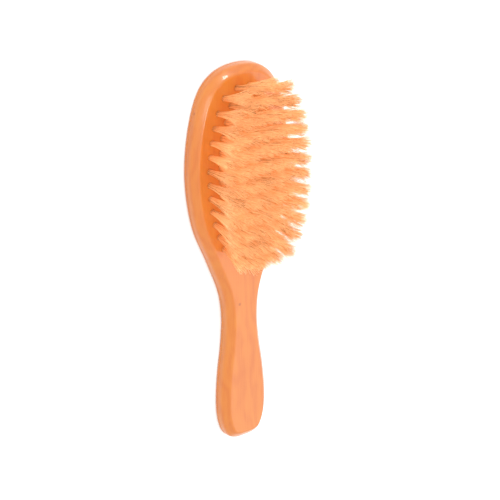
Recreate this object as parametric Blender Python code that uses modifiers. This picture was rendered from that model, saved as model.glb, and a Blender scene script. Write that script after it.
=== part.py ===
"""Wooden clothes brush: a drilled stock with a handle, rows of bristle tufts drawn in on wire, and a glued back.

+Z is the way the bristles point, +Y runs from the handle's end to the top of the head, +X is across.
The brush lies on its flat back at z = 0, and the origin is the middle of that footprint.
"""
import math

import bmesh
import bpy
from mathutils import Vector
from mathutils.geometry import interpolate_bezier

# Driving dimensions, in metres.
LENGTH = 0.210
THICKNESS = 0.0088
BACK_THICKNESS = 0.0020
GLUE_GAP = 0.0003
FACE_CHAMFER = 0.0034
BACK_ROUND = 0.0012

# Half of the outline, from the handle's end to the top of the head: half width, distance from the end.
HALF_OUTLINE = (
    (0.0062, 0.0005),
    (0.0106, 0.0032),
    (0.0139, 0.0115),
    (0.0148, 0.0230),
    (0.0135, 0.0400),
    (0.0113, 0.0550),
    (0.0103, 0.0700),
    (0.0122, 0.0850),
    (0.0199, 0.1050),
    (0.0282, 0.1250),
    (0.0320, 0.1460),
    (0.0321, 0.1640),
    (0.0285, 0.1850),
    (0.0223, 0.2000),
    (0.0130, 0.2076),
)
STEPS_PER_SPAN = 2

# Tufts stand in rows across the head. The end rows bow outwards, as the outline does.
ROWS = 12
FIRST_ROW_Y = 0.0079
ROW_PITCH = 0.00748
ROW_BOW = (-0.0030, 0.0042)
TUFT_PITCH = 0.0072
RIM = (0.0088, 0.0112)

BORE_RADIUS = 0.00158
BORE_SIDES = 6
BORE_FLOOR = 0.0041
GROOVE_TOP = 0.0043
GROOVE_WIDTH = 0.0020
GROOVE_OVERRUN = 0.0034

BRISTLE_LENGTH = 0.0225
KNOT_BOTTOM = 0.0044
ROOT_HALF = (0.0010, 0.0011)
MIDDLE_RISE = 0.0100
MIDDLE_HALF = (0.0028, 0.0025)
TIP_HALF = (0.0056, 0.0034)
SIDE_LEAN = 0.15
FAN = (-0.14, 0.26)
TUFT_SIDES = 6

WIRE_RADIUS = 0.000225
WIRE_CLEARANCE = 0.00085
WIRE_BED = 0.0029
WIRE_LOOP = 0.0058
LOOP_HALF = 0.0010
WIRE_TAIL = 0.0024

STOCK_Z = BACK_THICKNESS + GLUE_GAP
TIP_Z = THICKNESS + BRISTLE_LENGTH


def clear_scene():
    for item in list(bpy.data.objects):
        bpy.data.objects.remove(item, do_unlink=True)


def new_collection(name):
    collection = bpy.data.collections.new(name)
    bpy.context.scene.collection.children.link(collection)
    return collection


def new_material(name, colour, roughness, metallic=0.0):
    material = bpy.data.materials.new(name)
    material.use_nodes = True
    shader = material.node_tree.nodes["Principled BSDF"]
    shader.inputs["Base Color"].default_value = (*colour, 1.0)
    shader.inputs["Roughness"].default_value = roughness
    shader.inputs["Metallic"].default_value = metallic
    material.diffuse_color = (*colour, 1.0)
    return material


def mesh_object(name, bm, collection, material=None):
    """Turns a bmesh into an object, with its faces pointing out."""
    bmesh.ops.recalc_face_normals(bm, faces=bm.faces)
    mesh = bpy.data.meshes.new(name)
    bm.to_mesh(mesh)
    bm.free()
    if material:
        mesh.materials.append(material)
    item = bpy.data.objects.new(name, mesh)
    collection.objects.link(item)
    return item


def hide_cutter(item):
    item.hide_render = True
    item.display_type = "WIRE"


def cut(item, operation, **operand):
    """Adds an exact Boolean by one object, or by every object of a collection."""
    modifier = item.modifiers.new(operation.title(), "BOOLEAN")
    modifier.operation = operation
    modifier.solver = "EXACT"
    if "collection" in operand:
        modifier.operand_type = "COLLECTION"
    for key, value in operand.items():
        setattr(modifier, key, value)


def outline():
    """The closed outline, anticlockwise from the handle's end, centred on the origin."""
    side = [Vector((half, along - LENGTH / 2, 0.0)) for half, along in HALF_OUTLINE]
    mirrored = [Vector((-point.x, point.y, 0.0)) for point in reversed(side)]
    end = Vector((0.0, -LENGTH / 2, 0.0))
    knots = [end, *side, -end, *mirrored]
    points = []
    for i, start in enumerate(knots):
        stop = knots[(i + 1) % len(knots)]
        reach = (stop - start).length / 3
        out = (stop - knots[i - 1]).normalized() * reach
        back = (knots[(i + 2) % len(knots)] - start).normalized() * reach
        points += interpolate_bezier(start, start + out, stop - back, stop, STEPS_PER_SPAN + 1)[:-1]
    return points


OUTLINE = outline()


def half_width(y):
    """The outline's half width at y, and how fast it changes with y."""
    right = [point for point in OUTLINE if point.x >= 0.0]
    for low, high in zip(right, right[1:]):
        if low.y <= y <= high.y:
            slope = (high.x - low.x) / (high.y - low.y)
            return low.x + slope * (y - low.y), slope
    return 0.0, 0.0


def blend(pair, share):
    return pair[0] + (pair[1] - pair[0]) * share


def tuft_rows():
    """Each row's tufts, as their place on the face and their lean along x and y for each unit of height."""
    rows = []
    for k in range(ROWS):
        share = k / (ROWS - 1)
        end_y = FIRST_ROW_Y + ROW_PITCH * k
        width, slope = half_width(end_y)
        reach = width - blend(RIM, share) * math.hypot(1.0, slope)
        count = round(2 * reach / TUFT_PITCH) + 1
        row = []
        for i in range(count):
            across = 2 * i / (count - 1) - 1
            place = Vector((reach * across, end_y + blend(ROW_BOW, share) * (1 - across**2), 0.0))
            lean = Vector((SIDE_LEAN * place.x / width, blend(FAN, share), 1.0))
            row.append((place, lean))
        rows.append(row)
    return rows


def slab(low, high):
    """A board of the brush's outline from z = low to z = high."""
    bm = bmesh.new()
    base = bm.faces.new([bm.verts.new((p.x, p.y, low)) for p in OUTLINE])
    lifted = bmesh.ops.extrude_face_region(bm, geom=[base])["geom"]
    top = [part for part in lifted if isinstance(part, bmesh.types.BMVert)]
    bmesh.ops.translate(bm, vec=(0.0, 0.0, high - low), verts=top)
    return bm


def bevel_level(bm, level, width, segments):
    """Bevels the ring of edges that lies flat at one level."""
    ring = [edge for edge in bm.edges if all(abs(vert.co.z - level) < 1e-6 for vert in edge.verts)]
    bmesh.ops.bevel(bm, geom=ring, offset=width, offset_type="OFFSET", segments=segments,
                    profile=0.5, affect="EDGES")


def back_cover(parts, wood):
    """The thin back, glued on to close the wires in."""
    bm = slab(0.0, BACK_THICKNESS)
    bevel_level(bm, 0.0, BACK_ROUND, 2)
    return mesh_object("back_cover", bm, parts, wood)


def bore_cutter(rows, cutters):
    """One blunt drill for every tuft, down to the shoulder that the knot is drawn against."""
    bm = bmesh.new()
    top = THICKNESS + 0.001
    for place, _ in (tuft for row in rows for tuft in row):
        made = bmesh.ops.create_cone(bm, cap_ends=True, segments=BORE_SIDES, radius1=BORE_RADIUS,
                                     radius2=BORE_RADIUS, depth=top - BORE_FLOOR)
        middle = Vector((place.x, place.y, (top + BORE_FLOOR) / 2))
        bmesh.ops.translate(bm, vec=middle, verts=made["verts"])
    item = mesh_object("bore_cutter", bm, cutters)
    hide_cutter(item)
    return item


def path_curve(name, points, collection):
    """A straight-sided curve object through the points, its four-sided section lying flat."""
    curve = bpy.data.curves.new(name, "CURVE")
    curve.dimensions = "3D"
    spline = curve.splines.new("POLY")
    spline.points.add(len(points) - 1)
    for knot, point in zip(spline.points, points):
        knot.co = (*point, 1.0)
        knot.tilt = math.radians(45)
    item = bpy.data.objects.new(name, curve)
    collection.objects.link(item)
    return item


def as_mesh(item, collection):
    """Replaces a curve object by its welded mesh."""
    name = item.name
    item.name = name + "_curve"
    graph = bpy.context.evaluated_depsgraph_get()
    mesh = bpy.data.meshes.new_from_object(item.evaluated_get(graph))
    bm = bmesh.new()
    bm.from_mesh(mesh)
    bm.transform(item.matrix_basis)
    bmesh.ops.remove_doubles(bm, verts=bm.verts, dist=1e-6)
    bpy.data.objects.remove(item, do_unlink=True)
    return mesh_object(name, bm, collection)


def overrun(places, distance):
    """The row's places with its two ends pushed outwards."""
    first = places[0] + (places[0] - places[1]).normalized() * distance
    last = places[-1] + (places[-1] - places[-2]).normalized() * distance
    return [first, *places, last]


def groove_cutter(number, row, cutters):
    """The slot along the back of a row that its wire lies in, narrower than the bores."""
    low = STOCK_Z - 0.001
    middle = (low + GROOVE_TOP) / 2
    places = overrun([place for place, _ in row], GROOVE_OVERRUN)
    item = path_curve(f"groove_{number:02d}", [(p.x, p.y, 0.0) for p in places], cutters)
    item.data.dimensions = "2D"
    item.location.z = middle
    item.data.extrude = (GROOVE_TOP - low) / 2
    walls = item.modifiers.new("Walls", "SOLIDIFY")
    walls.thickness = GROOVE_WIDTH
    walls.offset = 0.0
    walls.use_even_offset = True
    return item


def brush_stock(rows, parts, cutters, wood):
    """The board and handle in one piece: chamfered face, a blind bore for each tuft, a groove for each row."""
    bm = slab(STOCK_Z, THICKNESS)
    bevel_level(bm, THICKNESS, FACE_CHAMFER, 1)
    stock = mesh_object("handle_stock", bm, parts, wood)
    cut(stock, "DIFFERENCE", object=bore_cutter(rows, cutters))
    grooves = new_collection("groove_cutters")
    for number, row in enumerate(rows, 1):
        groove = groove_cutter(number, row, grooves)
        hide_cutter(as_mesh(groove, grooves))
    cut(stock, "DIFFERENCE", collection=grooves)
    return stock


def wire_points(row):
    """Along the groove, and up, across and down again at each tuft to hold its fold."""
    places = [place for place, _ in row]
    ends = overrun(places, WIRE_TAIL)
    points = [(ends[0].x, ends[0].y, WIRE_BED)]
    for before, place, after in zip(ends, places, ends[2:]):
        along = (after - before).normalized() * LOOP_HALF
        for side, levels in ((-1, (WIRE_BED, WIRE_LOOP)), (1, (WIRE_LOOP, WIRE_BED))):
            foot = place + along * side
            points += [(foot.x, foot.y, z) for z in levels]
    points.append((ends[-1].x, ends[-1].y, WIRE_BED))
    return points


def draw_wire(name, row, radius, collection):
    item = path_curve(name, wire_points(row), collection)
    item.data.bevel_depth = radius
    item.data.bevel_resolution = 0
    item.data.use_fill_caps = True
    return item


def tuft(name, place, lean, collection, material):
    """One knot of bristle: straight in its bore, then spreading towards an even, flat-cut tip."""
    levels = (
        (KNOT_BOTTOM, ROOT_HALF),
        (THICKNESS, ROOT_HALF),
        (THICKNESS + MIDDLE_RISE, MIDDLE_HALF),
        (TIP_Z, TIP_HALF),
    )
    corner = math.cos(math.pi / TUFT_SIDES)
    bm = bmesh.new()
    made = bmesh.ops.create_cone(bm, cap_ends=True, segments=TUFT_SIDES, radius1=1.0, radius2=1.0, depth=1.0)
    walls = [edge for edge in bm.edges if abs(edge.verts[0].co.z - edge.verts[1].co.z) > 0.5]
    bmesh.ops.subdivide_edges(bm, edges=walls, cuts=len(levels) - 2)
    for vert in bm.verts:
        z, (half_x, half_y) = levels[round((vert.co.z + 0.5) * (len(levels) - 1))]
        centre = place + lean * max(0.0, z - THICKNESS)
        vert.co = (centre.x + vert.co.x * half_x / corner, centre.y + vert.co.y * half_y, z)
    return mesh_object(name, bm, collection, material)


def bristle_row(number, row, parts, cutters, bristle):
    """A row's knots, whose spread tips meet, with room for the wire through each fold."""
    others = new_collection(f"row_{number:02d}_knots")
    name = f"bristle_row_{number:02d}"
    first, *rest = row
    item = tuft(name, *first, parts, bristle)
    for i, knot in enumerate(rest, 2):
        hide_cutter(tuft(f"{name}_knot_{i}", *knot, others, bristle))
    cut(item, "UNION", collection=others)
    room = as_mesh(draw_wire(f"{name}_wire_room", row, WIRE_CLEARANCE, cutters), cutters)
    hide_cutter(room)
    cut(item, "DIFFERENCE", object=room)
    return item


def main():
    clear_scene()
    parts = new_collection("clothes_brush")
    cutters = new_collection("cutters")
    wood = new_material("lacquered_wood", (0.90, 0.36, 0.12), 0.30)
    bristle = new_material("pale_bristle", (0.93, 0.55, 0.27), 0.60)
    steel = new_material("draw_wire", (0.62, 0.60, 0.56), 0.35, 1.0)

    rows = tuft_rows()
    back_cover(parts, wood)
    brush_stock(rows, parts, cutters, wood)
    for number, row in enumerate(rows, 1):
        bristle_row(number, row, parts, cutters, bristle)
        wire = draw_wire(f"draw_wire_{number:02d}", row, WIRE_RADIUS, parts)
        wire.data.materials.append(steel)


main()
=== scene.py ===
import math

import bmesh
import bpy
from mathutils import Matrix, Vector
from mathutils.geometry import interpolate_bezier


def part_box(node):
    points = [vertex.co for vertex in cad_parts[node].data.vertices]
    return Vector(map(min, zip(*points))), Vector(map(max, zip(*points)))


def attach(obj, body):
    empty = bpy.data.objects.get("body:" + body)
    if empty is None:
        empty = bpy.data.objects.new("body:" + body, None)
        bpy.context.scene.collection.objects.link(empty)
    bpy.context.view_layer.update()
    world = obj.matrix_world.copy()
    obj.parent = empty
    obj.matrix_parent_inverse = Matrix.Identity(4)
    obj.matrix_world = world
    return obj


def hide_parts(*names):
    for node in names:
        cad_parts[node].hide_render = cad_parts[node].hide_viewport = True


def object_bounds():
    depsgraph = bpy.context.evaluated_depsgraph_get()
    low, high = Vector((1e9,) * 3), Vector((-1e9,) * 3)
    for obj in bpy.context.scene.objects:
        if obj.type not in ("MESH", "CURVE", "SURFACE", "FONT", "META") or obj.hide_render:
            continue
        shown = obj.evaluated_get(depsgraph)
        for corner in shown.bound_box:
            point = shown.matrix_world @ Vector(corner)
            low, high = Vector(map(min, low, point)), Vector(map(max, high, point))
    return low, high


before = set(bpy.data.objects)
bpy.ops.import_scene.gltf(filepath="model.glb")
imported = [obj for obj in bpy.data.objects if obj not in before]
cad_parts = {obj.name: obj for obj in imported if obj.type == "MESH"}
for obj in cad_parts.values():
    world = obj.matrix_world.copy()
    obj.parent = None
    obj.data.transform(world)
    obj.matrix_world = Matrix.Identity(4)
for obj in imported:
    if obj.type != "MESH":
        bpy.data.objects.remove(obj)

cad_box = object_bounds()

# ---------------------------------------------------------------------------------------------------------
# Handle stock. One piece of close-grained hardwood: an oval bristle board running into a waisted handle.
# Cut to shape, chamfered round its front edge, bored once for each tuft, slotted behind each row for the
# wire, then sanded until its edges are soft and sprayed with clear orange lacquer.

MM = 0.001
stock_low, stock_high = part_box("handle_stock")
BRUSH_LENGTH = stock_high.y - stock_low.y
FACE = stock_high.z
SEAM = (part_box("back_cover")[1].z + stock_low.z) / 2

# Half width and distance from the handle's end, both in mm.
HALF_OUTLINE = (
    (6.2, 0.5), (10.6, 3.2), (13.9, 11.5), (14.8, 23.0), (13.5, 40.0), (11.3, 55.0), (10.3, 70.0),
    (12.2, 85.0), (19.9, 105.0), (28.2, 125.0), (32.0, 146.0), (32.1, 164.0), (28.5, 185.0),
    (22.3, 200.0), (13.0, 207.6),
)
OUTLINE_STEPS = 8
LAYOUT_STEPS = 2
CHAMFER = 3.4 * MM
SEAM_GAP = 0.03 * MM

# How the edges are eased: at the joint, where the wall meets the chamfer and where the chamfer meets the
# face. Each flat side starts a margin in from its edge. An arc's handles reach this share of the way out.
SEAM_EDGE = 0.12 * MM
SEAM_INSET = 0.4 * MM
WALL_ARRIS = 1.0 * MM
FACE_ARRIS = 0.9 * MM
FLAT_MARGIN = 1.4 * MM
ARC_PULL = 0.55
SHARP_DEGREES = 40


def outline(steps):
    """The closed outline, anticlockwise from the middle of the handle's end."""
    side = [Vector((half * MM, along * MM - BRUSH_LENGTH / 2, 0)) for half, along in HALF_OUTLINE]
    end = Vector((0, -BRUSH_LENGTH / 2, 0))
    knots = [end, *side, -end, *(Vector((-p.x, p.y, 0)) for p in reversed(side))]
    points = []
    for i, start in enumerate(knots):
        stop = knots[(i + 1) % len(knots)]
        reach = (stop - start).length / 3
        leave = start + (stop - knots[i - 1]).normalized() * reach
        arrive = stop - (knots[(i + 2) % len(knots)] - start).normalized() * reach
        points += interpolate_bezier(start, leave, arrive, stop, steps + 1)[:-1]
    return points


def soften(corners, steps=5):
    """A profile of (inset, height, radius) corners, with each corner eased by its radius."""
    points = []
    for i, (inset, height, radius) in enumerate(corners):
        corner = Vector((inset, height))
        if not radius:
            points.append(corner)
            continue
        before = Vector(corners[i - 1][:2])
        after = Vector(corners[i + 1][:2])
        start = corner + (before - corner).normalized() * radius
        stop = corner + (after - corner).normalized() * radius
        points += interpolate_bezier(
            start, start.lerp(corner, ARC_PULL), stop.lerp(corner, ARC_PULL), stop, steps)
    return points


def board(name, corners):
    """A solid of the brush's outline whose edge follows the profile, from its lower face to its upper one."""
    path = [point.to_2d() for point in outline(OUTLINE_STEPS)]
    inward = []
    for i, point in enumerate(path):
        along = (path[(i + 1) % len(path)] - path[i - 1]).normalized()
        inward.append(Vector((-along.y, along.x)))
    bm = bmesh.new()
    rings = []
    for inset, height in soften(corners):
        ring = [(point + side * inset).to_3d() for point, side in zip(path, inward)]
        rings.append([bm.verts.new((p.x, p.y, height)) for p in ring])
    for low, high in zip(rings, rings[1:]):
        for i in range(len(path)):
            j = (i + 1) % len(path)
            bm.faces.new((low[i], low[j], high[j], high[i]))
    bm.faces.new(reversed(rings[0]))
    bm.faces.new(rings[-1])
    return mesh_object(name, bm)


def mesh_object(name, bm):
    mesh = bpy.data.meshes.new(name)
    bm.to_mesh(mesh)
    bm.free()
    item = bpy.data.objects.new(name, mesh)
    bpy.context.scene.collection.objects.link(item)
    return item


def evaluated_mesh(item):
    """The mesh that the object's modifiers or its curve make, placed as the object is."""
    graph = bpy.context.evaluated_depsgraph_get()
    mesh = bpy.data.meshes.new_from_object(item.evaluated_get(graph))
    mesh.transform(item.matrix_basis)
    return mesh


def settle(item):
    """Swaps the object for a plain mesh one of the same name, at the origin."""
    name = item.name
    mesh = evaluated_mesh(item)
    bpy.data.objects.remove(item, do_unlink=True)
    mesh.name = name
    plain = bpy.data.objects.new(name, mesh)
    bpy.context.scene.collection.objects.link(plain)
    return plain


def cut_away(item, cutter):
    """Cuts one closed mesh object out of another and removes the cutter."""
    cut = item.modifiers.new("Cut", "BOOLEAN")
    cut.operation = "DIFFERENCE"
    cut.solver = "EXACT"
    cut.object = cutter
    plain = settle(item)
    bpy.data.objects.remove(cutter, do_unlink=True)
    return plain


# Where the tufts stand: rows across the head, whose ends keep a rim's width from the outline. A pair runs
# from the first row to the last. The leans are per unit of height, sideways and along the brush.
ROWS = 12
FIRST_ROW_Y = 7.9 * MM
ROW_PITCH = 7.48 * MM
ROW_BOW = (-3.0 * MM, 4.2 * MM)
TUFT_PITCH = 7.2 * MM
RIM = (8.8 * MM, 11.2 * MM)
SIDE_LEAN = 0.15
FAN = (-0.14, 0.26)


def blend(pair, share):
    return pair[0] + (pair[1] - pair[0]) * share


def half_width(y):
    """The half width at y and its slope, read off the coarser outline that the rows are set by."""
    right = [point for point in outline(LAYOUT_STEPS) if point.x >= 0]
    for low, high in zip(right, right[1:]):
        if low.y <= y <= high.y:
            slope = (high.x - low.x) / (high.y - low.y)
            return low.x + slope * (y - low.y), slope


def tuft_rows():
    """For each row, each tuft's place on the face and how it leans for each unit of height."""
    rows = []
    for k in range(ROWS):
        share = k / (ROWS - 1)
        end_y = FIRST_ROW_Y + ROW_PITCH * k
        width, slope = half_width(end_y)
        reach = width - blend(RIM, share) * math.hypot(1, slope)
        count = round(2 * reach / TUFT_PITCH) + 1
        row = []
        for i in range(count):
            across = 2 * i / (count - 1) - 1
            place = Vector((reach * across, end_y + blend(ROW_BOW, share) * (1 - across ** 2), FACE))
            row.append((place, Vector((SIDE_LEAN * place.x / width, blend(FAN, share), 1))))
        rows.append(row)
    return rows


tufts = tuft_rows()

BORE_RADIUS = 1.55 * MM
BORE_DEPTH = FACE - 4.1 * MM
BORE_SIDES = 20
GROOVE_TOP = 4.3 * MM
GROOVE_WIDTH = 2.0 * MM
GROOVE_OVERRUN = 3.4 * MM
OVERSHOOT = 1 * MM
WELD_DISTANCE = 1e-6


def drill():
    """One drill for every tuft."""
    bm = bmesh.new()
    for place, _ in (tuft for row in tufts for tuft in row):
        made = bmesh.ops.create_cone(bm, cap_ends=True, segments=BORE_SIDES, radius1=BORE_RADIUS,
                                     radius2=BORE_RADIUS, depth=BORE_DEPTH + OVERSHOOT)
        centre = place + Vector((0, 0, (OVERSHOOT - BORE_DEPTH) / 2))
        bmesh.ops.translate(bm, verts=made["verts"], vec=centre)
    return mesh_object("drill", bm)


def row_path(row, overrun):
    """The row's places, with one more beyond each end."""
    places = [place for place, _ in row]
    first = places[0] + (places[0] - places[1]).normalized() * overrun
    last = places[-1] + (places[-1] - places[-2]).normalized() * overrun
    return [first, *places, last]


def slot_saw(row):
    """The saw that cuts one row's slot into the back of the stock."""
    low = stock_low.z - OVERSHOOT
    path = row_path(row, GROOVE_OVERRUN)
    curve = bpy.data.curves.new("slot_saw", "CURVE")
    curve.dimensions = "2D"
    curve.extrude = (GROOVE_TOP - low) / 2
    spline = curve.splines.new("POLY")
    spline.points.add(len(path) - 1)
    for knot, place in zip(spline.points, path):
        knot.co = (place.x, place.y, 0, 1)
    saw = bpy.data.objects.new("slot_saw", curve)
    saw.location.z = (GROOVE_TOP + low) / 2
    bpy.context.scene.collection.objects.link(saw)
    walls = saw.modifiers.new("Walls", "SOLIDIFY")
    walls.thickness = GROOVE_WIDTH
    walls.offset = 0
    walls.use_even_offset = True
    saw = settle(saw)
    bm = bmesh.new()
    bm.from_mesh(saw.data)
    bmesh.ops.remove_doubles(bm, verts=bm.verts, dist=WELD_DISTANCE)
    bmesh.ops.recalc_face_normals(bm, faces=bm.faces)
    bm.to_mesh(saw.data)
    bm.free()
    return saw


stock = board("wooden_stock", (
    (SEAM_INSET, SEAM + SEAM_GAP, 0),
    (0.0, SEAM + SEAM_GAP, SEAM_EDGE),
    (0.0, FACE - CHAMFER, WALL_ARRIS),
    (CHAMFER, FACE, FACE_ARRIS),
    (CHAMFER + FLAT_MARGIN, FACE, 0),
))
stock = cut_away(stock, drill())
for row in tufts:
    stock = cut_away(stock, slot_saw(row))


def smooth(item, sharp_degrees):
    """Smooth shading, except across edges sharper than this."""
    item.data.shade_smooth()
    item.data.set_sharp_from_angle(angle=math.radians(sharp_degrees))


smooth(stock, SHARP_DEGREES)


def linear(code):
    """A hex sRGB colour as linear light."""
    levels = [int(code[i:i + 2], 16) / 255 for i in (1, 3, 5)]
    return (*(v / 12.92 if v <= 0.04045 else ((v + 0.055) / 1.055) ** 2.4 for v in levels), 1)


def node(tree, kind, links=None, **settings):
    """Adds a node. Links and plain values go to its inputs by name or number, settings to the node itself."""
    made = tree.nodes.new(kind)
    for key, value in settings.items():
        setattr(made, key, value)
    for key, value in (links or {}).items():
        socket = made.inputs[key]
        if isinstance(value, bpy.types.NodeSocket):
            tree.links.new(value, socket)
        else:
            socket.default_value = value
    return made


def new_material(name):
    """A node material holding only its output and a Principled shader."""
    material = bpy.data.materials.new(name)
    material.use_nodes = True
    tree = material.node_tree
    return material, tree, tree.nodes["Principled BSDF"]


def ramp(tree, factor, stops):
    """A colour ramp through (position, hex colour) stops."""
    made = node(tree, "ShaderNodeValToRGB", {"Fac": factor})
    elements = made.color_ramp.elements
    while len(elements) < len(stops):
        elements.new(0.5)
    for element, (position, code) in zip(elements, stops):
        element.position = position
        element.color = linear(code)
    return made.outputs["Color"]


# Orange lacquered hardwood. Sanded, stained and sprayed: a smooth gloss film over a faint, close grain,
# with growth rings a few millimetres apart that arch where the board was cut flat, and two pin knots, each
# given by its place and radius. Lengths are in mm. The shares say how far each pattern shades the wood.
RING_PITCH = 3.2
RING_DRIFT = 16
GRAIN_WIDTH = 0.45
GRAIN_LENGTH = 14.0
RING_SHARE = 0.19
GRAIN_SHARE = 0.50
CLOUD_SHARE = 0.50
PIN_KNOTS = ((-27.3, 83.8, 3.4, 1.0), (-4.0, -26.0, 8.8, 1.2))


def lacquered_wood():
    material, tree, shader = new_material("orange_lacquered_hardwood")
    place = node(tree, "ShaderNodeTexCoord").outputs["Object"]
    mm = node(tree, "ShaderNodeVectorMath", {0: place, "Scale": 1000}, operation="SCALE").outputs[0]
    drift = node(tree, "ShaderNodeTexNoise", {
        "Vector": node(tree, "ShaderNodeMapping", {"Vector": mm, "Scale": (1, 0.35, 1)}).outputs[0],
        "Scale": 0.06, "Detail": 2,
    }).outputs["Color"]
    shift = node(tree, "ShaderNodeVectorMath", {0: drift, "Scale": RING_DRIFT}, operation="SCALE").outputs[0]
    bent = node(tree, "ShaderNodeVectorMath", {
        0: node(tree, "ShaderNodeMapping", {
            "Vector": mm, "Location": (4, 0, 30), "Rotation": (math.radians(9), 0, math.radians(2)),
            "Scale": (1, 0.3, 1),
        }).outputs[0],
        1: shift,
    }, operation="ADD").outputs[0]
    rings = node(tree, "ShaderNodeTexWave", {
        "Vector": bent, "Scale": math.pi / 10 / RING_PITCH, "Distortion": 1.5, "Detail": 3,
        "Detail Scale": 1.5, "Detail Roughness": 0.6,
    }, wave_type="RINGS", rings_direction="Y", wave_profile="SIN").outputs["Fac"]
    grain = node(tree, "ShaderNodeTexNoise", {
        "Vector": node(tree, "ShaderNodeMapping", {
            "Vector": mm, "Scale": (1 / GRAIN_WIDTH, 1 / GRAIN_LENGTH, 1 / GRAIN_WIDTH),
        }).outputs[0],
        "Scale": 1.0, "Detail": 4, "Roughness": 0.6,
    }).outputs["Fac"]
    cloud = node(tree, "ShaderNodeTexNoise", {"Vector": mm, "Scale": 0.05, "Detail": 2}).outputs["Fac"]
    both = node(tree, "ShaderNodeMath", {
        0: rings, 1: RING_SHARE, 2: 0,
    }, operation="MULTIPLY_ADD").outputs[0]
    both = node(tree, "ShaderNodeMath", {
        0: grain, 1: GRAIN_SHARE, 2: both,
    }, operation="MULTIPLY_ADD").outputs[0]
    both = node(tree, "ShaderNodeMath", {
        0: cloud, 1: CLOUD_SHARE, 2: both,
    }, operation="MULTIPLY_ADD").outputs[0]
    colour = ramp(tree, both, ((0.25, "#c57623"), (0.60, "#c16c1c"), (0.95, "#b65c12")))
    for x, y, z, radius in PIN_KNOTS:
        gap = node(tree, "ShaderNodeVectorMath", {0: mm, 1: (x, y, z)}, operation="DISTANCE").outputs["Value"]
        near = node(tree, "ShaderNodeMapRange", {
            "Value": gap, "From Min": radius * 0.3, "From Max": radius, "To Min": 0.75, "To Max": 0,
        }, interpolation_type="SMOOTHSTEP").outputs[0]
        colour = node(tree, "ShaderNodeMix", {
            0: near, 6: colour, 7: linear("#9a4c14"),
        }, data_type="RGBA").outputs[2]
    tree.links.new(colour, shader.inputs["Base Color"])
    shader.inputs["Roughness"].default_value = 0.38
    shader.inputs["IOR"].default_value = 1.5
    shader.inputs["Coat Weight"].default_value = 0.5
    shader.inputs["Coat Roughness"].default_value = 0.09
    shader.inputs["Coat IOR"].default_value = 1.5
    bump = node(tree, "ShaderNodeBump", {
        "Height": grain, "Strength": 0.05, "Distance": 0.05 * MM,
    })
    tree.links.new(bump.outputs[0], shader.inputs["Normal"])
    return material


wood = lacquered_wood()
stock.data.materials.clear()
stock.data.materials.append(wood)
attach(stock, "root")
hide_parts("handle_stock")

# ---------------------------------------------------------------------------------------------------------
# Back cover. A thin board of the same wood and outline, glued over the wires and sanded flush with the
# stock, so that only a hairline joint shows. Its outer edge is rounded over.

BACK_ROUND = 1.0 * MM

cover = board("wooden_back", (
    (BACK_ROUND + FLAT_MARGIN, 0.0, 0),
    (0.0, 0.0, BACK_ROUND),
    (0.0, SEAM - SEAM_GAP, SEAM_EDGE),
    (SEAM_INSET, SEAM - SEAM_GAP, 0),
))
smooth(cover, SHARP_DEGREES)
cover.data.materials.append(wood)
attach(cover, "root")
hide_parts("back_cover")

# ---------------------------------------------------------------------------------------------------------
# Bristle tufts. Each tuft is a bundle of pale stiff fibre folded double and drawn into its bore, so it is
# tight at the face and splays towards the tips, where the tufts of a row run into each other. The fibres
# of a tuft hold together in locks, and are trimmed level but not exactly.

BRISTLE_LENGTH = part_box("bristle_row_06")[1].z - FACE
TREE_INPUTS = (
    ("Fibres", "NodeSocketInt", 290),
    ("Root Radius", "NodeSocketFloat", 1.32 * MM),
    ("Tip Spread", "NodeSocketVector", (4.3 * MM, 3.8 * MM, 0)),
    ("Length", "NodeSocketFloat", BRISTLE_LENGTH),
    ("Depth", "NodeSocketFloat", 4.0 * MM),
    ("Unevenness", "NodeSocketFloat", 0.12),
    ("Lock Reach", "NodeSocketFloat", 1.4 * MM),
    ("Bend", "NodeSocketFloat", 0.9 * MM),
    ("Thickness", "NodeSocketFloat", 0.085 * MM),
    ("Seed", "NodeSocketInt", 1),
    ("Material", "NodeSocketMaterial", None),
)
LOCKS = 14
END_TRIM = 0.10
FIBRE_POINTS = 7
SPLAY_POWER = 1.6
DISC_POWER = 0.52
TIP_TAPER = 0.45

# A fibre is trimmed short by its lock's draw and its own, scaled so that they reach about one together. The
# first rows are shorter than the rest, the first of them by the whole end trim.
LOCK_SHORT = 0.5
SHORT_SCALE = 0.67
SHORT_ROWS = 3
SEED_STEP = 31

# Random draws: name, kind, lowest, highest, and whether a whole lock of fibres shares one.
DRAWS = (
    ("turn", "FLOAT", 0, 2 * math.pi, False),
    ("out", "FLOAT", 0, 1, False),
    ("pick", "FLOAT", 0, LOCKS - 0.001, False),
    ("lock_bend", "FLOAT_VECTOR", (-1, -1, -1), (1, 1, 1), True),
    ("own_bend", "FLOAT_VECTOR", (-1, -1, 0), (1, 1, 1), False),
    ("own_shade", "FLOAT", 0, 0.6, False),
    ("lock_shade", "FLOAT", 0, 0.4, True),
)


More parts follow.
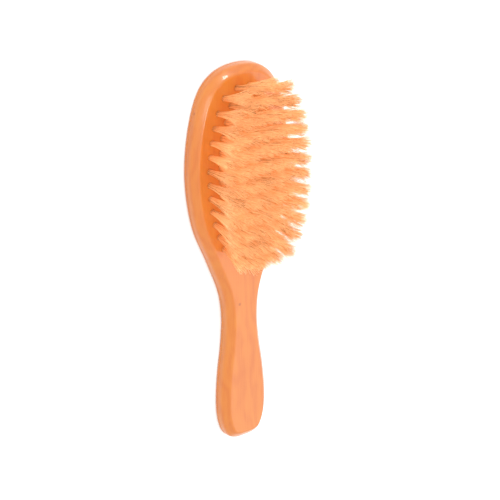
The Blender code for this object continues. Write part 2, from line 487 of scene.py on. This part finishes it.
def bristle_tree():
    """From one point a tuft, with its lean, to the tuft's fibres as three-sided tapering rods."""
    tree = bpy.data.node_groups.new("bristle_tuft", "GeometryNodeTree")
    face = tree.interface
    face.new_socket("Geometry", in_out="INPUT", socket_type="NodeSocketGeometry")
    for name, kind, value in TREE_INPUTS:
        socket = face.new_socket(name, in_out="INPUT", socket_type=kind)
        if value is not None:
            socket.default_value = value
    face.new_socket("Geometry", in_out="OUTPUT", socket_type="NodeSocketGeometry")
    given = tree.nodes.new("NodeGroupInput").outputs
    maths, vectors = "ShaderNodeMath", "ShaderNodeVectorMath"

    kept = {"root": "FLOAT_VECTOR", "lean": "FLOAT_VECTOR", "tuft": "INT", "along": "FLOAT", "shade": "FLOAT"}
    kept.update({name: kind for name, kind, *_ in DRAWS})
    read = {}
    for name, kind in kept.items():
        made = node(tree, "GeometryNodeInputNamedAttribute", {"Name": name}, data_type=kind)
        read[name] = next(socket for socket in made.outputs if socket.enabled)

    def keep(shape, **values):
        """Stores each value on the shape's points under its name."""
        for name, value in values.items():
            shape = node(tree, "GeometryNodeStoreNamedAttribute", {
                "Geometry": shape, "Name": name, "Value": value,
            }, data_type=kept[name], domain="POINT").outputs[0]
        return shape

    shape = keep(given["Geometry"], root=node(tree, "GeometryNodeInputPosition").outputs[0],
                 tuft=node(tree, "GeometryNodeInputIndex").outputs[0])
    shape = node(tree, "GeometryNodeDuplicateElements", {
        "Geometry": shape, "Amount": given["Fibres"],
    }, domain="POINT").outputs["Geometry"]
    lock = node(tree, maths, {0: read["pick"]}, operation="FLOOR").outputs[0]
    lock = node(tree, maths, {0: read["tuft"], 1: LOCKS, 2: lock}, operation="MULTIPLY_ADD").outputs[0]
    for number, (name, kind, lowest, highest, shared) in enumerate(DRAWS, 1):
        seed = node(tree, maths, {
            0: given["Seed"], 1: SEED_STEP, 2: number,
        }, operation="MULTIPLY_ADD").outputs[0]
        draw = node(tree, "FunctionNodeRandomValue", {"Seed": seed}, data_type=kind)
        least, most = (end for end in draw.inputs if end.enabled and end.name in ("Min", "Max"))
        least.default_value, most.default_value = lowest, highest
        if shared:
            tree.links.new(lock, draw.inputs["ID"])
        shape = keep(shape, **{name: next(socket for socket in draw.outputs if socket.enabled)})

    line = node(tree, "GeometryNodeResampleCurve", {
        "Curve": node(tree, "GeometryNodeCurvePrimitiveLine", {"End": (0, 0, 1)}).outputs["Curve"],
        "Count": FIBRE_POINTS,
    }).outputs["Curve"]
    shape = node(tree, "GeometryNodeInstanceOnPoints", {"Points": shape, "Instance": line}).outputs[0]
    shape = node(tree, "GeometryNodeRealizeInstances", {"Geometry": shape}).outputs[0]
    shape = keep(
        shape, along=node(tree, "GeometryNodeSplineParameter").outputs["Factor"],
        shade=node(tree, maths, {0: read["own_shade"], 1: read["lock_shade"]}, operation="ADD").outputs[0])

    # How high each point stands, from the bottom of the bore to the trimmed tip.
    short = node(tree, maths, {
        0: node(tree, "ShaderNodeSeparateXYZ", {0: read["lock_bend"]}).outputs[2], 1: LOCK_SHORT,
        2: node(tree, "ShaderNodeSeparateXYZ", {0: read["own_bend"]}).outputs[2],
    }, operation="MULTIPLY_ADD").outputs[0]
    short = node(tree, maths, {0: short, 1: 0}, operation="MAXIMUM").outputs[0]
    short = node(tree, maths, {0: short, 1: given["Unevenness"]}, operation="MULTIPLY").outputs[0]
    short = node(tree, maths, {0: short, 1: SHORT_SCALE}, operation="MULTIPLY").outputs[0]
    left = node(tree, maths, {0: 1, 1: short}, operation="SUBTRACT").outputs[0]
    whole = node(tree, maths, {0: left, 1: given["Length"], 2: given["Depth"]},
                 operation="MULTIPLY_ADD").outputs[0]
    height = node(tree, maths, {0: read["along"], 1: whole}, operation="MULTIPLY").outputs[0]
    height = node(tree, maths, {0: height, 1: given["Depth"]}, operation="SUBTRACT").outputs[0]
    above = node(tree, maths, {0: height, 1: 0}, operation="MAXIMUM").outputs[0]
    below = node(tree, maths, {0: height, 1: 0}, operation="MINIMUM").outputs[0]
    rise = node(tree, maths, {0: above, 1: given["Length"]}, operation="DIVIDE").outputs[0]
    splay = node(tree, maths, {0: rise, 1: SPLAY_POWER}, operation="POWER").outputs[0]

    # A fibre's spot in its tuft is a point of a disc, which widens with height.
    out = node(tree, maths, {0: read["out"], 1: DISC_POWER}, operation="POWER").outputs[0]
    unit = node(tree, "ShaderNodeCombineXYZ", {
        0: node(tree, maths, {0: read["turn"]}, operation="COSINE").outputs[0],
        1: node(tree, maths, {0: read["turn"]}, operation="SINE").outputs[0],
    }).outputs[0]
    spot = node(tree, vectors, {0: unit, "Scale": out}, operation="SCALE").outputs[0]
    growth = node(tree, vectors, {0: given["Tip Spread"], 1: given["Root Radius"]}, operation="SUBTRACT")
    half = node(tree, vectors, {0: growth.outputs[0], 1: splay, 2: given["Root Radius"]},
                operation="MULTIPLY_ADD").outputs[0]

    # Its lock and its own bend carry it aside, more so towards the tip.
    square = node(tree, maths, {0: rise, 1: 2}, operation="POWER").outputs[0]
    aside = node(tree, vectors, {
        0: read["own_bend"],
        1: node(tree, maths, {0: square, 1: given["Bend"]}, operation="MULTIPLY").outputs[0],
    }, operation="MULTIPLY").outputs[0]
    aside = node(tree, vectors, {
        0: read["lock_bend"],
        1: node(tree, maths, {0: splay, 1: given["Lock Reach"]}, operation="MULTIPLY").outputs[0],
        2: aside,
    }, operation="MULTIPLY_ADD").outputs[0]
    place = node(tree, vectors, {0: read["lean"], 1: above, 2: read["root"]},
                 operation="MULTIPLY_ADD").outputs[0]
    place = node(tree, vectors, {0: spot, 1: half, 2: place}, operation="MULTIPLY_ADD").outputs[0]
    place = node(tree, vectors, {0: aside, 1: (1, 1, 0), 2: place}, operation="MULTIPLY_ADD").outputs[0]
    place = node(tree, vectors, {
        0: place, 1: node(tree, "ShaderNodeCombineXYZ", {2: below}).outputs[0],
    }, operation="ADD").outputs[0]
    shape = node(tree, "GeometryNodeSetPosition", {"Geometry": shape, "Position": place}).outputs[0]

    width = node(tree, maths, {0: rise, 1: -TIP_TAPER, 2: 1}, operation="MULTIPLY_ADD").outputs[0]
    width = node(tree, maths, {0: width, 1: given["Thickness"]}, operation="MULTIPLY").outputs[0]
    rod = node(tree, "GeometryNodeCurvePrimitiveCircle", {"Resolution": 3, "Radius": 1}).outputs["Curve"]
    shape = node(tree, "GeometryNodeCurveToMesh", {
        "Curve": shape, "Profile Curve": rod, "Scale": width, "Fill Caps": True,
    }).outputs[0]
    shape = node(tree, "GeometryNodeSetShadeSmooth", {"Geometry": shape, "Shade Smooth": True}).outputs[0]
    shape = node(tree, "GeometryNodeSetMaterial", {
        "Geometry": shape, "Material": given["Material"],
    }).outputs[0]
    node(tree, "NodeGroupOutput", {0: shape})
    return tree


# Pale natural bristle: matt fibre that lets a good part of the light through, with painted shade that makes
# it deeper at the root and paler at the tip, and fibres that differ a little from each other. A faint glow,
# painted light that fades out towards the root, stands for the light that such pale fibres pass between them
# many times over.
def pale_bristle():
    material, tree, shader = new_material("pale_natural_bristle")
    along = node(tree, "ShaderNodeAttribute", attribute_name="along").outputs["Fac"]
    shade = node(tree, "ShaderNodeAttribute", attribute_name="shade").outputs["Fac"]
    # Painted shade: each fibre is coloured deeper towards its root, where the tuft shades it.
    body = ramp(tree, along, ((0.15, "#fccb8c"), (0.55, "#ffdaa6"), (1.0, "#ffe4bc")))
    dark = ramp(tree, shade, ((0.06, "#8a5c3a"), (0.16, "#cda888"), (0.34, "#eedac6"), (0.8, "#ffffff")))
    colour = node(tree, "ShaderNodeMix", {0: 1.0, 6: body, 7: dark}, data_type="RGBA",
                  blend_type="MULTIPLY").outputs[2]
    tree.links.new(colour, shader.inputs["Base Color"])
    shader.inputs["Roughness"].default_value = 0.5
    shader.inputs["IOR"].default_value = 1.5
    # Painted light: the glow's colour, dark at the root and brightest towards the tip.
    lit = ramp(tree, along, ((0.13, "#2c2018"), (0.24, "#c8b8a0"), (1.0, "#dcdcca")))
    glow = node(tree, "ShaderNodeMix", {0: 1.0, 6: colour, 7: lit}, data_type="RGBA",
                blend_type="MULTIPLY").outputs[2]
    tree.links.new(glow, shader.inputs["Emission Color"])
    shader.inputs["Emission Strength"].default_value = 0.36
    through = node(tree, "ShaderNodeBsdfTranslucent", {"Color": colour}).outputs[0]
    both = node(tree, "ShaderNodeMixShader", {0: 0.5, 1: shader.outputs[0], 2: through}).outputs[0]
    tree.links.new(both, tree.nodes["Material Output"].inputs["Surface"])
    return material


bristle = pale_bristle()
grow = bristle_tree()
for number, row in enumerate(tufts, 1):
    name = f"tufts_{number:02d}"
    mesh = bpy.data.meshes.new(name)
    mesh.from_pydata([place for place, _ in row], [], [])
    leans = mesh.attributes.new("lean", "FLOAT_VECTOR", "POINT")
    for i, (_, lean) in enumerate(row):
        leans.data[i].vector = lean
    seeds = bpy.data.objects.new(name, mesh)
    bpy.context.scene.collection.objects.link(seeds)
    growth = seeds.modifiers.new("Growth", "NODES")
    growth.node_group = grow
    sockets = {item.name: item.identifier for item in grow.interface.items_tree if item.in_out == "INPUT"}
    growth[sockets["Seed"]] = number
    growth[sockets["Length"]] = BRISTLE_LENGTH * (1 - END_TRIM * max(0, 1 - (number - 1) / SHORT_ROWS))
    growth[sockets["Material"]] = bristle
    tuft_row = settle(seeds)
    # The tufts cast no shadow at all, where real ones would cast a soft and faint one.
    tuft_row.visible_shadow = False
    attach(tuft_row, "root")
    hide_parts(f"bristle_row_{number:02d}")

# ---------------------------------------------------------------------------------------------------------
# Draw wires. Soft drawn steel wire, one length a row, hidden between the boards. Their shape is the solid
# model's own, and only the material is set here.

def drawn_steel():
    material, tree, shader = new_material("drawn_steel_wire")
    place = node(tree, "ShaderNodeTexCoord").outputs["Object"]
    streak = node(tree, "ShaderNodeTexNoise", {"Vector": place, "Scale": 3000, "Detail": 2}).outputs["Fac"]
    tree.links.new(ramp(tree, streak, ((0.3, "#8f8b84"), (0.7, "#b9b5ad"))), shader.inputs["Base Color"])
    shader.inputs["Metallic"].default_value = 1
    shader.inputs["Roughness"].default_value = 0.35
    return material


steel = drawn_steel()
for name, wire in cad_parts.items():
    if name.startswith("draw_wire"):
        wire.data.materials.clear()
        wire.data.materials.append(steel)

# ---------------------------------------------------------------------------------------------------------
# The setting: a plain pale floor under even white light and four softboxes: one past the head of the brush,
# one overhead, one on its left and a broad one over its right side, towards the handle.

FLOOR_SIDE = 6.0
LAMP_DISTANCE = 1.2
bm = bmesh.new()
bmesh.ops.create_grid(bm, x_segments=1, y_segments=1, size=FLOOR_SIDE / 2)
floor = mesh_object("floor", bm)
paper, tree, shader = new_material("pale_paper_sweep")
fibres = node(tree, "ShaderNodeTexNoise", {
    "Vector": node(tree, "ShaderNodeTexCoord").outputs["Object"], "Scale": 40, "Detail": 2,
}).outputs["Fac"]
tree.links.new(ramp(tree, fibres, ((0.0, "#f4f4f4"), (1.0, "#f7f7f7"))), shader.inputs["Base Color"])
shader.inputs["Roughness"].default_value = 0.9
floor.data.materials.append(paper)

world = bpy.data.worlds.new("studio")
bpy.context.scene.world = world
world.use_nodes = True
world.node_tree.nodes["Background"].inputs["Color"].default_value = (1, 1, 1, 1)
world.node_tree.nodes["Background"].inputs["Strength"].default_value = 1.2


def softbox(name, aim, direction, size, power):
    """A square area light that shines at a point from a direction."""
    data = bpy.data.lights.new(name, "AREA")
    data.shape = "SQUARE"
    data.size = size
    data.energy = power
    lamp = bpy.data.objects.new(name, data)
    way = Vector(direction).normalized()
    lamp.location = aim + way * LAMP_DISTANCE
    lamp.rotation_euler = way.to_track_quat("Z", "Y").to_euler()
    bpy.context.scene.collection.objects.link(lamp)


centre = (cad_box[0] + cad_box[1]) / 2
softbox("key", centre, (0.15, 0.83, 0.54), 0.22, 3.5)
softbox("overhead", centre, (-0.05, -0.02, 1), 0.25, 2.5)
softbox("left", centre, (-0.55, 0.25, 0.80), 0.50, 2.5)
softbox("front", centre, (0.57, -0.38, 0.73), 0.9, 2.5)

# The camera looks down on the face from the left and from above the head, on a long lens.
TURN = math.radians(38)
TILT = math.radians(22)
ROLL = math.radians(-0.707)
DISTANCE = 1.318
AIM_RIGHT = 7.97 * MM
AIM_UP = 1.11 * MM
ahead = Vector((-math.sin(TURN) * math.cos(TILT), math.sin(TILT), math.cos(TURN) * math.cos(TILT)))
right = Vector((math.cos(TURN), 0, math.sin(TURN)))
up = ahead.cross(right)
right, up = (right * math.cos(ROLL) + up * math.sin(ROLL), up * math.cos(ROLL) - right * math.sin(ROLL))
lens = bpy.data.cameras.new("camera")
lens.lens = 180
lens.sensor_width = 36
camera = bpy.data.objects.new("camera", lens)
spot = right * AIM_RIGHT + up * AIM_UP + ahead * DISTANCE
camera.matrix_world = Matrix.Translation(spot) @ Matrix((right, up, ahead)).transposed().to_4x4()
bpy.context.scene.collection.objects.link(camera)
bpy.context.scene.camera = camera
bpy.context.scene.view_settings.view_transform = "Standard"
